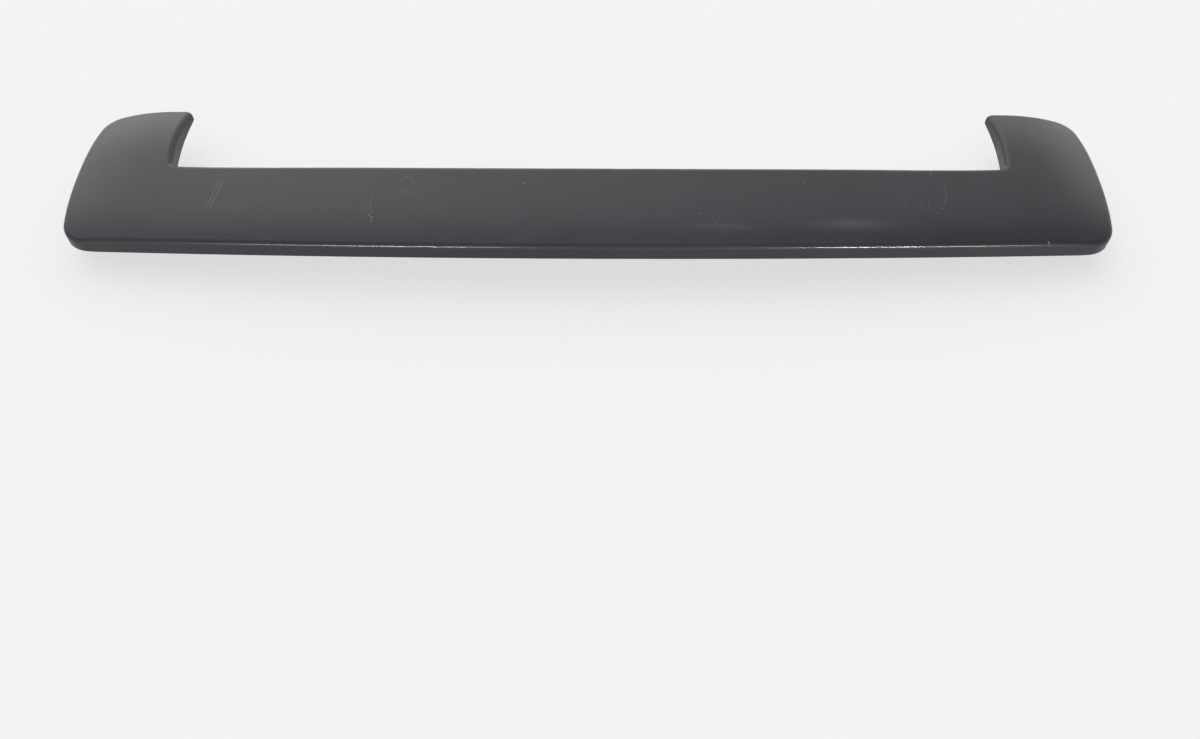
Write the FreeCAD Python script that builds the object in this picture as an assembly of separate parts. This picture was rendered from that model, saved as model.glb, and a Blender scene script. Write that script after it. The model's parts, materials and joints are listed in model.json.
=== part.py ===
"""Rear spoiler for a car's tailgate: one moulded body, with four threaded inserts moulded into its arms.

X runs across the car, Y forwards and Z up. The spoiler lies on the two feet under its ends, as on a floor.
The origin is on that floor, below the middle of the spoiler's box.
"""
import FreeCAD, Part
import os

from FreeCAD import Vector

# Plan
overall_width = 1200.0          # over the outer sides, at their widest
overall_depth = 229.0           # from the middle of the trailing edge to the arm tips
side_swell = 8.5                # how far the outer sides swell out past the trailing corners
trailing_bow = 24.0             # how far the trailing corners lie ahead of the middle
widest_from_rear = 135.0        # where the outer sides run straight ahead
arm_width = 116.0               # from the ends of an arm's inner wall to its outer side, at its widest
inner_wall_bow = 4.0            # how far the inner wall is hollowed halfway along
deck_chord = 112.0              # trailing edge to leading edge, in the middle
leading_bow = 12.0              # how far the leading edge has moved ahead where it meets the arms
trailing_corner_radius = 30.0
tip_outer_radius = 24.0
tip_inner_radius = 8.0
notch_corner_radius = 7.0

# Top skin, in side view
lip_height = 37.8               # lower trailing edge above the floor, in the middle
arch_drop = 16.8                # how much lower the section lies at the trailing corners
rear_face_height = 19.0
roll_length = 20.0              # stretch over which the deck rolls down to the rear face
roll_rise = 5.8                 # deck above the rear face at the end of that stretch
mid_deck_rise = 10.6            # deck above the rear face halfway to the leading edge
nose_rise = 14.4                # deck above the rear face at the leading edge
crest_from_rear = 152.0         # highest point of the arms
crest_rise = 15.2
tip_rise = 3.4                  # arm tips above the rear face
arm_rise = 1.6                  # the arms stand this much out of the deck where they leave it
arm_blend = 60.0                # width of the soft step between deck and arm
shoulder_share = 0.75           # outer part of an arm's width, which falls outwards
shoulder_drop = 16.5            # how far it has fallen at the outer side
shoulder_length = 190.0         # from the trailing edge to where the fall is complete
shoulder_start_share = 0.3      # part of the fall that is there from the trailing edge on

# Underside
heel_length = 38.0              # slanted facet under the trailing edge, front to back
land_depth = 9.4                # deck's lowest face below the trailing edge, in the middle
land_sag = 4.0                  # how much deeper that face lies beside the feet
foot_inset = 20.0               # a foot's slanted outer wall, from the side in to the floor
foot_width = 112.0              # from there a foot rises inwards to the deck's lowest face
seat_height = 15.2              # underside of lip and arms above the lower trailing edge
lip_length = 20.0               # lip ahead of the step that hooks over the tailgate's edge
step_draft = 4.0

# Edge rounding
top_edge_radius = 6.0

# Threaded inserts, two in each arm's seat
insert_radius = 5.0
insert_length = 10.0
insert_flange_radius = 7.0
insert_flange_thickness = 1.5
insert_bore_radius = 2.5        # core of an M6 thread
insert_bore_depth = 8.5
insert_recess = 1.0             # flange below the seat's skin
insert_spacing = 56.0
insert_tip_margin = 46.0        # front insert to the arm's tip
insert_share = 0.4              # inserts from the arm's inner wall, as a part of its width

half_width = overall_width / 2
half_trailing = half_width - side_swell
half_notch = half_width - arm_width
shoulder_width = shoulder_share * arm_width
shoulder_start = half_width - shoulder_width
floor_x = half_width - foot_inset
foot_end = floor_x - foot_width
rear_y = -overall_depth / 2
tip_y = overall_depth / 2
notch_y = rear_y + deck_chord + leading_bow
overrun = 30.0                  # how far the cutting shapes reach past the outline
weld = 0.001                    # edges and faces closer than this count as one when shapes are cut
sky = lip_height + rear_face_height + crest_rise + overrun


def smooth_step(value, low, high):
    share = min(max((value - low) / (high - low), 0.0), 1.0)
    return share * share * (3.0 - 2.0 * share)


def bow(x):
    """How far the trailing edge has moved ahead at x: an arc through the corners and the middle."""
    radius = (half_trailing ** 2 + trailing_bow ** 2) / (2 * trailing_bow)
    return radius - (radius ** 2 - x ** 2) ** 0.5


def corner_cut(x):
    """How far the rounded trailing corner lies ahead of that edge at x."""
    past = min(max(abs(x) - half_trailing + trailing_corner_radius, 0.0), trailing_corner_radius)
    return trailing_corner_radius - (trailing_corner_radius ** 2 - past ** 2) ** 0.5


def arch(x):
    return arch_drop * (x / half_trailing) ** 2


def leading_edge(x):
    return deck_chord + leading_bow * (x / half_notch) ** 2


def shoulder(x):
    past = max(abs(x) - shoulder_start, 0.0) / shoulder_width
    return shoulder_drop * past ** 2


def side_x(y):
    """Half width at y: the sides swell from the trailing corners and draw in again to the arm tips."""
    short = (rear_y + widest_from_rear - y) / (widest_from_rear - trailing_bow)
    return half_width - side_swell * short ** 2


def section_point(x, from_rear, height):
    """A point of the section at x, given from the lower trailing edge there."""
    return Vector(x, rear_y + bow(x) + from_rear, lip_height - arch(x) + height)


def pair(x, y):
    return Vector(-x, y, 0), Vector(x, y, 0)


def plan_outline():
    """The U-shaped outline, with sharp corners."""
    corner = pair(half_trailing, rear_y + trailing_bow)
    side_middle = pair(side_x(0.0), 0.0)
    tip_outer = pair(side_x(tip_y), tip_y)
    tip_inner = pair(half_notch, tip_y)
    inner_middle = pair(half_notch + inner_wall_bow, (tip_y + notch_y) / 2)
    notch = pair(half_notch, notch_y)
    edges = [
        Part.Arc(corner[0], Vector(0, rear_y, 0), corner[1]),
        Part.Arc(corner[1], side_middle[1], tip_outer[1]),
        Part.LineSegment(tip_outer[1], tip_inner[1]),
        Part.Arc(tip_inner[1], inner_middle[1], notch[1]),
        Part.Arc(notch[1], Vector(0, rear_y + deck_chord, 0), notch[0]),
        Part.Arc(notch[0], inner_middle[0], tip_inner[0]),
        Part.LineSegment(tip_inner[0], tip_outer[0]),
        Part.Arc(tip_outer[0], side_middle[0], corner[0]),
    ]
    return Part.Face(Part.Wire([edge.toShape() for edge in edges]))


def plan_prism():
    """The outline drawn up to a prism, with its upright corners rounded in pairs."""
    prism = plan_outline().extrude(Vector(0, 0, sky))
    corners = [
        (half_trailing, rear_y + trailing_bow, trailing_corner_radius),
        (side_x(tip_y), tip_y, tip_outer_radius),
        (half_notch, tip_y, tip_inner_radius),
        (half_notch, notch_y, notch_corner_radius),
    ]
    for x, y, radius in corners:
        places = pair(x, y)
        upright = []
        for edge in prism.Edges:
            starts = [(vertex.Point - place).Length for vertex in edge.Vertexes for place in places]
            if edge.BoundBox.ZLength > sky / 2 and min(starts) < 0.01:
                upright.append(edge)
        prism = prism.makeFillet(radius, upright)
    return prism


def top_profile(x):
    """The top skin's line at x, from behind the trailing edge to ahead of the arm tips."""
    tip_from_rear = overall_depth - bow(half_notch)
    last_fall = 2 * (crest_rise - tip_rise) / (tip_from_rear - crest_from_rear)
    line = [
        (-overrun, -2 * overrun * roll_rise / roll_length),
        (0.0, 0.0),
        (roll_length, roll_rise),
        (deck_chord / 2, mid_deck_rise),
        (deck_chord, nose_rise),
        (crest_from_rear, crest_rise),
        (tip_from_rear, tip_rise),
        (tip_from_rear + overrun, tip_rise - last_fall * overrun),
    ]
    on_arm = smooth_step(abs(x), half_notch - arm_blend / 2, half_notch + arm_blend / 2)
    points = []
    for from_rear, rise in line:
        ahead = smooth_step(from_rear, 0.0, deck_chord)
        later = smooth_step(from_rear, 0.0, shoulder_length)
        fall = shoulder_start_share + (1.0 - shoulder_start_share) * later
        height = rear_face_height + rise + ahead * arm_rise * on_arm - fall * shoulder(x)
        points.append(section_point(x, from_rear, height))
    curve = Part.BSplineCurve()
    curve.interpolate(points)
    return Part.Wire(curve.toShape())


def above_top_skin():
    """Everything above the top skin, which is lofted through its lines across the car."""
    arm_start = half_notch - arm_blend / 2
    arm_full = half_notch + arm_blend / 2
    right = [
        arm_start / 3, arm_start * 2 / 3, arm_start, half_notch, arm_full,
        (arm_full + half_width) / 2, half_width, half_width + overrun,
    ]
    across = [-x for x in reversed(right)] + [0.0] + right
    skin = Part.makeLoft([top_profile(x) for x in across], False, False)
    return skin.Faces[0].extrude(Vector(0, 0, 2 * sky))


def land_under(x):
    return land_depth + land_sag * (x / half_notch) ** 2


def foot_under(x):
    """Depth of a foot's underside below the trailing edge: down to the floor, then up to the side."""
    level = lip_height - arch(x)
    if abs(x) > floor_x:
        return level * (half_width - abs(x)) / foot_inset
    rise = lip_height - arch(foot_end) - land_under(foot_end)
    return level - rise * ((floor_x - abs(x)) / foot_width) ** 2


def underside_section(x, depth):
    """Closed section of the blank at x: heel facet, lowest face, step, seat, and up to the sky."""
    step = leading_edge(x) - lip_length - bow(x)
    seat = seat_height - shoulder(x)
    lower = [
        section_point(x, corner_cut(x) - overrun, depth * overrun / heel_length),
        section_point(x, corner_cut(x) + heel_length, -depth),
        section_point(x, step, -depth),
        section_point(x, step + step_draft, seat),
        section_point(x, overall_depth + overrun, seat),
    ]
    upper = [Vector(x, lower[-1].y, sky), Vector(x, lower[0].y, sky)]
    return Part.makePolygon(lower + upper + [lower[0]])


def blank():
    """The underside across the car: deck, curved feet with their arms, and the feet's outer walls."""
    deck_stations = [foot_end * share / 3 for share in range(-3, 4)]
    foot_stations = [foot_end + foot_width * share / 5 for share in range(6)]
    wall_stations = [floor_x, half_width + foot_inset / 4]
    deck = Part.makeLoft([underside_section(x, land_under(x)) for x in deck_stations], True, False)
    ends = []
    for side in (-1, 1):
        foot = [underside_section(side * x, foot_under(x)) for x in foot_stations]
        wall = [underside_section(side * x, foot_under(x)) for x in wall_stations]
        ends.append(Part.makeLoft(foot, True, False))
        ends.append(Part.makeLoft(wall, True, True))
    return deck.fuse(ends)


def top_skin(shape):
    """The largest of the faces that look up at their middle."""
    found = []
    for face in shape.Faces:
        u_low, u_high, v_low, v_high = face.ParameterRange
        if face.normalAt((u_low + u_high) / 2, (v_low + v_high) / 2).z > 0.5:
            found.append(face)
    return max(found, key=lambda face: face.Area)


def insert_places():
    """Where the inserts' flanges meet the recess, from the left arm's front to the right arm's rear."""
    x = half_notch + insert_share * arm_width
    seat = lip_height - arch(x) + seat_height - shoulder(x)
    front = tip_y - insert_tip_margin
    return [Vector(side * x, y, seat + insert_recess)
            for side in (-1, 1) for y in (front, front - insert_spacing)]


def disc(radius, place, low, high):
    return Part.makeCylinder(radius, high - low, place + Vector(0, 0, low))


def insert_outside(place, below):
    """An insert's outer shape, carried down by the length given as a way out of the seat."""
    barrel = disc(insert_radius, place, 0, insert_length)
    return barrel.fuse(disc(insert_flange_radius, place, -below, insert_flange_thickness))


def threaded_inserts():
    made = []
    for place in insert_places():
        bore = disc(insert_bore_radius, place, 0, insert_bore_depth)
        made.append(insert_outside(place, 0).cut(bore).removeSplitter())
    return Part.makeCompound(made)


def spoiler_body():
    body = plan_prism().common([blank()], weld).cut([above_top_skin()], weld).Solids[0]
    body = body.makeFillet(top_edge_radius, top_skin(body).Edges)
    return body.cut([insert_outside(place, overrun) for place in insert_places()])


os.makedirs("parts", exist_ok=True)
spoiler_body().exportStep("parts/spoiler_body.step")
threaded_inserts().exportStep("parts/threaded_inserts.step")
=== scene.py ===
import json
import math
import bpy
from mathutils import Euler, Matrix, Vector

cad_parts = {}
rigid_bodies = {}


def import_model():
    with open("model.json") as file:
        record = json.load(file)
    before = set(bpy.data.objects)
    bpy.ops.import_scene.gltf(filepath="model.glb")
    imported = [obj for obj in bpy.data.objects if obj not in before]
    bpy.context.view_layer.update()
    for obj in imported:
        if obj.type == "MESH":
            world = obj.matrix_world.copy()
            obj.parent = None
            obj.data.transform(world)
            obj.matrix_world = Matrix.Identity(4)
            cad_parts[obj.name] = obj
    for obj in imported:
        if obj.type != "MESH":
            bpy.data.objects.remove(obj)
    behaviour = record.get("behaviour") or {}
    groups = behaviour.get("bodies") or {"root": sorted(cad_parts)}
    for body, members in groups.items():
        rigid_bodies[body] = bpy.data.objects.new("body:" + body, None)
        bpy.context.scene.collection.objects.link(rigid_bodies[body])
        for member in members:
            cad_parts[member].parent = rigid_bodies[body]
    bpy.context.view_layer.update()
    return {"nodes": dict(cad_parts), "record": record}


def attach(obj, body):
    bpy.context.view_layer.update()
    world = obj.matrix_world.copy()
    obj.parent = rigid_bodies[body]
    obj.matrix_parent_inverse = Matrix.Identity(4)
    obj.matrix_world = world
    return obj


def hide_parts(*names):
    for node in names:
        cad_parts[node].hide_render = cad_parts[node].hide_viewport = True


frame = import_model()
print("frame loaded:", len(frame["nodes"]), "nodes")

millimetre = 0.001


class Sock:
    # an output socket that takes part in plain expressions
    def __init__(self, tree, out):
        self.tree = tree
        self.out = out

    def math(self, operation, *others):
        inputs = dict(enumerate((self, *others)))
        return addNode(self.tree, "ShaderNodeMath", {"operation": operation}, inputs)

    def vector(self, operation, *others, output="Vector"):
        inputs = dict(enumerate((self, *others)))
        return addNode(self.tree, "ShaderNodeVectorMath", {"operation": operation}, inputs, output)

    def clamp(self):
        self.out.node.use_clamp = True      # the sum just made stays between 0 and 1
        return self

    def ramp(self, slope, offset):
        return (self * slope + offset).clamp()

    def __add__(self, other):
        return self.math("ADD", other)

    def __sub__(self, other):
        return self.math("SUBTRACT", other)

    def __rsub__(self, other):
        return addNode(self.tree, "ShaderNodeMath", {"operation": "SUBTRACT"}, {0: other, 1: self})

    def __mul__(self, other):
        return self.math("MULTIPLY", other)

    def __pow__(self, other):
        return self.math("POWER", other)

    __radd__ = __add__
    __rmul__ = __mul__


def setInputs(node, inputs):
    for key, value in inputs.items():
        if isinstance(value, Sock):
            value.tree.links.new(value.out, node.inputs[key])
        else:
            node.inputs[key].default_value = value


def addNode(tree, kind, settings, inputs, output=0):
    node = tree.nodes.new(kind)
    for key, value in settings.items():
        setattr(node, key, value)
    setInputs(node, inputs)
    return Sock(tree, node.outputs[output])


def findNode(tree, kind):
    return next(node for node in tree.nodes if node.type == kind)


def texCoord(tree, kind):
    return addNode(tree, "ShaderNodeTexCoord", {}, {}, kind)


def noise(coords, scale, detail, stretch=(1.0, 1.0, 1.0)):
    inputs = {"Vector": coords.vector("MULTIPLY", stretch), "Scale": scale, "Detail": detail}
    return addNode(coords.tree, "ShaderNodeTexNoise", {}, inputs)


def mixColours(factor, first, second):
    inputs = {0: factor, 6: first, 7: second}      # the colour sockets of a Mix node
    return addNode(factor.tree, "ShaderNodeMix", {"data_type": "RGBA"}, inputs, 2)


def bump(height, depth):
    inputs = {"Strength": 1.0, "Distance": depth, "Height": height}
    return addNode(height.tree, "ShaderNodeBump", {}, inputs)


def newMaterial(name):
    material = bpy.data.materials.new(name)
    material.use_nodes = True
    tree = material.node_tree
    return material, tree, findNode(tree, "BSDF_PRINCIPLED")


def paint(piece, material):
    piece.data.materials.clear()
    piece.data.materials.append(material)


# moulded body: the solid's own surface, its faces sewn together with their own smooth normals
bodyShape = {"mergeWithin": 0.01 * millimetre}


def mouldBody():
    node = frame["nodes"]["spoiler_body"]
    piece = bpy.data.objects.new("mouldedBody", node.data.copy())
    bpy.context.scene.collection.objects.link(piece)
    bpy.ops.object.select_all(action="DESELECT")
    piece.select_set(True)
    bpy.context.view_layer.objects.active = piece
    bpy.ops.object.mode_set(mode="EDIT")
    bpy.ops.mesh.select_all(action="SELECT")
    bpy.ops.mesh.remove_doubles(threshold=bodyShape["mergeWithin"], use_sharp_edge_from_normals=True)
    bpy.ops.object.mode_set(mode="OBJECT")
    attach(piece, "root")
    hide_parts("spoiler_body")
    print("moulded body:", len(piece.data.polygons), "faces")
    return piece


# satin skin; ramps are a slope and an offset, noises are scale, detail and stretch,
# and the marks' places and sizes are in millimetres across and along the car
skinLook = {
    "colour": (0.0255, 0.0250, 0.0325, 1.0),
    # painted shade: the rear face, walls and underside get a darker colour that stands in for the shade
    # they sit in
    "flankShadeColour": (0.0125, 0.0118, 0.0152, 1.0),
    "roughness": 0.20,
    "flankRoughness": 0.38,     # rear face, walls and underside are left as moulded
    "specular": 0.38,
    "upwardRamp": (3.0, -0.6),  # how far a face has to look up to be marked
    "flankRamp": (-5.0, 1.6),   # and how little, to count as a flank
    "mottleNoise": (9.0, 3.0),
    "mottleRamp": (2.5, -0.75),
    "mottleDepth": 0.20,
    "streakNoise": (38.0, 4.0, (0.25, 1.6, 1.0)),
    "streakRoughness": 0.04,
    "swellNoise": (26.0, 1.0),  # the slow waves of a moulded surface
    "swellDepth": 0.12 * millimetre,
    "breakNoise": (420.0, 3.0),
    "breakRamp": (2.6, -0.6),   # gaps in the scratches
    "scratchColour": (0.22, 0.22, 0.23, 1.0),
    "scratchRoughness": 0.25,   # added to the skin's own
    "scratches": [              # half width, strength, points
        (0.5, 0.55, [(-422.5, -16.5), (-427.7, -44.9)]),
        (0.6, 0.75, [(-419.1, -18.0), (-424.8, -56.2)]),
        (0.5, 0.45, [(-426.3, -33.2), (-429.5, -60.3)]),
        (0.5, 0.25, [(-417.7, -1.3), (-420.0, -13.0)]),
        (0.6, 0.30, [(-399.3, -62.5), (-382.0, -57.8)]),
        (0.6, 0.15, [(-379.3, -53.3), (-363.2, -51.7)]),
        (0.6, 0.35, [(-244.3, -44.7), (-244.8, -56.2), (-241.9, -67.1), (-244.0, -73.5)]),
        (0.6, 0.80, [(-244.0, -73.5), (-240.1, -76.8), (-241.2, -83.2)]),
        (0.6, 0.60, [(-214.3, -21.1), (-208.3, -18.1), (-201.8, -19.9), (-198.5, -25.4)]),
        (0.5, 0.20, [(-209.5, -33.7), (-209.0, -47.6)]),
        (0.5, 0.25, [(107.6, -88.2), (133.4, -86.6)]),
        (0.5, 0.20, [(168.1, -87.9), (187.9, -90.1)]),
        (0.5, 0.45, [(405.3, -20.2), (406.5, -30.1), (405.3, -40.0), (399.8, -52.2)]),
        (0.5, 0.18, [(357.6, -41.9), (354.0, -66.1)]),
        (0.5, 0.18, [(375.5, -43.7), (372.6, -62.5)]),
        (0.5, 0.22, [(384.2, -43.3), (381.6, -59.9)]),
    ],
    "chipEdge": 1.5,            # how steeply a chip's rim sets in
    "chips": [                  # radius, strength, place
        (0.9, 1.0, (-244.0, -73.1)), (0.8, 0.8, (-240.7, -76.4)), (0.7, 0.5, (-232.7, -89.7)),
        (1.0, 0.35, (-239.5, -31.3)), (1.0, 1.6, (-72.8, -28.8)), (0.9, 0.9, (124.4, -70.8)),
        (0.7, 0.9, (145.1, -74.7)), (0.7, 0.5, (142.3, -81.0)), (0.7, 0.4, (154.7, -74.2)),
        (1.3, 0.4, (244.5, -22.5)), (1.6, 0.35, (393.5, -4.6)), (1.5, 0.35, (397.3, -55.7)),
        (1.2, 1.3, (513.2, -93.9)), (0.9, 0.7, (514.2, -96.1)), (0.8, 0.6, (-558.5, -64.3)),
        (0.8, 0.5, (388.7, -104.1)), (0.8, 0.5, (392.2, -103.9)),
    ],
    "hazeColour": (0.075, 0.077, 0.092, 1.0),
    "hazeRoughness": 0.12,
    "hazeFade": 1.5,            # how soon a rubbed patch fades towards its rim
    "hazeStreaks": 1.5,
    "hazes": [                  # half sizes, strength, place
        ((75.0, 11.0), 0.9, (290.0, -81.0)),
        ((45.0, 8.0), 0.5, (148.0, -87.0)),
        ((30.0, 9.0), 0.35, (-205.0, -40.0)),
    ],
}


def scratchLines(place):
    total = 0.0
    for halfWidth, strength, points in skinLook["scratches"]:
        for start, end in zip(points, points[1:]):
            run = Vector((end[0] - start[0], end[1] - start[1], 0.0))
            fromStart = place.vector("SUBTRACT", (*start, 0.0))
            along = fromStart.vector("DOT_PRODUCT", run, output="Value")
            share = (along * (1.0 / run.length_squared)).clamp()
            away = share.vector("MULTIPLY_ADD", -run, fromStart).vector("LENGTH", output="Value")
            total = total + (1.0 - away * (1.0 / halfWidth)).clamp() * strength
    return total


def chipSpots(place):
    total = 0.0
    edge = skinLook["chipEdge"]
    for radius, strength, middle in skinLook["chips"]:
        away = place.vector("DISTANCE", (*middle, 0.0), output="Value")
        total = total + (edge - away * (edge / radius)).clamp() * strength
    return total


def rubbedPatches(place):
    total = 0.0
    for halfSize, strength, middle in skinLook["hazes"]:
        scaled = place.vector("SUBTRACT", (*middle, 0.0)).vector("DIVIDE", (*halfSize, 1.0))
        away = scaled.vector("LENGTH", output="Value")
        total = total + (1.0 - away).clamp() ** skinLook["hazeFade"] * strength
    return total


def skinMaterial():
    material, tree, shader = newMaterial("satinCharcoal")
    coords = texCoord(tree, "Object")
    place = coords.vector("MULTIPLY", (1.0 / millimetre, 1.0 / millimetre, 0.0))    # seen from above
    facing = addNode(tree, "ShaderNodeSeparateXYZ", {}, {0: texCoord(tree, "Normal")}, "Z")
    upward = facing.ramp(*skinLook["upwardRamp"])
    flank = facing.ramp(*skinLook["flankRamp"])
    broken = noise(coords, *skinLook["breakNoise"]).ramp(*skinLook["breakRamp"])
    streaks = noise(coords, *skinLook["streakNoise"])
    mottle = noise(coords, *skinLook["mottleNoise"]).ramp(*skinLook["mottleRamp"])
    swell = noise(coords, *skinLook["swellNoise"])

    scratch = (scratchLines(place) * broken + chipSpots(place)) * upward
    haze = rubbedPatches(place) * streaks * skinLook["hazeStreaks"] * upward
    shade = (mottle - 0.5) * skinLook["mottleDepth"] + 1.0
    # painted shade: faces that look sideways or down take the darker flank colour
    plain = mixColours(flank, skinLook["colour"], skinLook["flankShadeColour"])
    base = addNode(tree, "ShaderNodeVectorMath", {"operation": "SCALE"}, {0: plain, "Scale": shade})
    hazed = mixColours(haze, base, skinLook["hazeColour"])
    marked = mixColours(scratch, hazed, skinLook["scratchColour"])

    rough = (streaks - 0.5) * skinLook["streakRoughness"] + skinLook["roughness"]
    rough = rough + scratch * skinLook["scratchRoughness"] + haze * skinLook["hazeRoughness"]
    rough = rough + flank * (skinLook["flankRoughness"] - skinLook["roughness"])
    setInputs(shader, {
        "Base Color": marked,
        "Roughness": rough,
        "Normal": bump(swell, skinLook["swellDepth"]),
        "Specular IOR Level": skinLook["specular"],
    })
    print("satin skin:", len(tree.nodes), "nodes")
    return material


mouldedBody = mouldBody()
paint(mouldedBody, skinMaterial())

# brass inserts in the seats under the arms, turned on a lathe and a little tarnished
brassLook = {
    "colour": (0.62, 0.44, 0.18, 1.0),
    "tarnishColour": (0.40, 0.25, 0.09, 1.0),
    "roughness": 0.26,
    "tarnishRoughness": 0.16,   # added where the tarnish is thickest
    "tarnishNoise": (260.0, 2.0),
    "tarnishRamp": (3.0, -1.1),
    "grooveCount": 9000.0,      # radians of the lathe's groove for each metre from the axis
    "grooveDepth": 0.02 * millimetre,
    "mount": "tailgate_inserts",
}


def brassMaterial():
    material, tree, shader = newMaterial("turnedBrass")
    coords = texCoord(tree, "Object")
    mount = next(row for row in frame["record"]["mounts"] if row["name"] == brassLook["mount"])
    spacing = Vector((mount["dims"]["spacing_x_mm"], mount["dims"]["spacing_y_mm"], 0.0))
    # the four inserts are folded onto one, so that the grooves run round each axis
    folded = coords.vector("SUBTRACT", mount["pos_m"]).vector("ABSOLUTE")
    fromAxis = folded.vector("SUBTRACT", spacing * millimetre / 2).vector("MULTIPLY", (1.0, 1.0, 0.0))
    radius = fromAxis.vector("LENGTH", output="Value")
    groove = (radius * brassLook["grooveCount"]).math("SINE")
    tarnish = noise(coords, *brassLook["tarnishNoise"]).ramp(*brassLook["tarnishRamp"])
    setInputs(shader, {
        "Base Color": mixColours(tarnish, brassLook["colour"], brassLook["tarnishColour"]),
        "Roughness": tarnish * brassLook["tarnishRoughness"] + brassLook["roughness"],
        "Normal": bump(groove, brassLook["grooveDepth"]),
        "Metallic": 1.0,
    })
    print("turned brass:", len(tree.nodes), "nodes")
    return material


paint(frame["nodes"]["threaded_inserts"], brassMaterial())

# floor, light and camera
studio = {
    "floorSize": 16.0,
    "floorColour": (0.86, 0.86, 0.865, 1.0),
    "floorRoughness": 0.9,
    "floorSpecular": 0.1,
    "floorGlow": 0.66,          # share of the floor that shows plain white
    "glowLevel": 0.99,
    "backdropLevel": 0.9,       # what the camera sees behind the floor
    "roomLevel": 0.45,
    "walls": [                  # bright walls and a dark corner: side, level, how narrow
        ((-0.33, 0.72, 0.61), 1.76, 3.8),
        ((0.72, 0.61, 0.33), 0.95, 11.0),
        ((0.57, -0.12, 0.81), -0.42, 14.0),
    ],
    "windowAim": (0.0, 0.0, 0.05),
    "windows": [                # place, size, power, colour
        ((-0.76, -2.6, 0.14), (0.56, 0.20), 23.0, (1.0, 1.0, 1.0)),
        ((-1.32, -2.6, 0.14), (0.50, 0.20), 8.0, (1.0, 1.0, 1.0)),
        ((1.20, -2.6, 0.12), (0.30, 0.13), 38.0, (1.0, 1.0, 1.0)),
        ((1.72, -2.6, 0.12), (0.12, 0.13), 11.0, (1.0, 1.0, 0.8)),
    ],
}


def makeFloor():
    bpy.ops.object.select_all(action="DESELECT")
    bpy.ops.mesh.primitive_plane_add(size=studio["floorSize"], location=(0, 0, 0))
    floor = bpy.context.active_object
    floor.name = "studioFloor"
    material, tree, shader = newMaterial("paleFloor")
    setInputs(shader, {
        "Base Color": studio["floorColour"],
        "Roughness": studio["floorRoughness"],
        "Specular IOR Level": studio["floorSpecular"],
    })
    camera, glossy, through = [addNode(tree, "ShaderNodeLightPath", {}, {}, kind)
                               for kind in ("Is Camera Ray", "Is Glossy Ray", "Is Transmission Ray")]
    seen = (camera + glossy + through).clamp()
    glow = addNode(tree, "ShaderNodeEmission", {}, {"Strength": studio["glowLevel"]})
    surfaces = {0: seen * studio["floorGlow"], 1: Sock(tree, shader.outputs["BSDF"]), 2: glow}
    mixed = addNode(tree, "ShaderNodeMixShader", {}, surfaces)
    setInputs(findNode(tree, "OUTPUT_MATERIAL"), {"Surface": mixed})
    paint(floor, material)


def makeWorld():
    world = bpy.data.worlds.new("softRoom")
    bpy.context.scene.world = world
    world.use_nodes = True
    tree = world.node_tree
    direction = texCoord(tree, "Generated")
    level = studio["roomLevel"]
    for side, brightness, narrow in studio["walls"]:
        near = direction.vector("DOT_PRODUCT", Vector(side).normalized(), output="Value")
        level = level + near.math("MAXIMUM", 0.0) ** narrow * brightness
    seen = addNode(tree, "ShaderNodeLightPath", {}, {}, "Is Camera Ray")
    shown = addNode(tree, "ShaderNodeMix", {}, {0: seen, 2: level, 3: studio["backdropLevel"]})
    setInputs(findNode(tree, "BACKGROUND"), {"Color": (1.0, 1.0, 1.0, 1.0), "Strength": shown})


def makeWindows():
    lit = bpy.data.collections.new("windowLit")     # the windows light the body and leave the floor even
    lit.objects.link(mouldedBody)
    for number, (place, size, power, colour) in enumerate(studio["windows"], 1):
        data = bpy.data.lights.new(f"window{number}", "AREA")
        data.shape = "RECTANGLE"
        data.size, data.size_y = size
        data.energy = power
        data.color = colour
        lamp = bpy.data.objects.new(data.name, data)
        bpy.context.scene.collection.objects.link(lamp)
        lamp.location = place
        lamp.light_linking.receiver_collection = lit
        beam = Vector(studio["windowAim"]) - Vector(place)
        lamp.rotation_euler = beam.to_track_quat("-Z", "Y").to_euler()


cameraView = {
    "place": (0.00954, -0.90846, 0.92131),
    "tilt": -53.977,            # degrees from the horizon
    "turn": 0.3000,             # to the right
    "roll": 0.4376,
    "lens": 31.990,
    "sensor": 36.0,
}


def makeCamera():
    data = bpy.data.cameras.new("photoCamera")
    data.sensor_width = cameraView["sensor"]
    data.sensor_fit = "HORIZONTAL"
    data.lens = cameraView["lens"]
    camera = bpy.data.objects.new("photoCamera", data)
    bpy.context.scene.collection.objects.link(camera)
    camera.location = cameraView["place"]
    aim = Euler((math.radians(90 + cameraView["tilt"]), 0, -math.radians(cameraView["turn"])))
    turned = aim.to_matrix() @ Matrix.Rotation(math.radians(cameraView["roll"]), 3, "Z")
    camera.rotation_euler = turned.to_euler()
    bpy.context.scene.camera = camera


makeFloor()
makeWorld()
makeWindows()
makeCamera()
bpy.context.scene.view_settings.view_transform = "Standard"
print("studio ready")
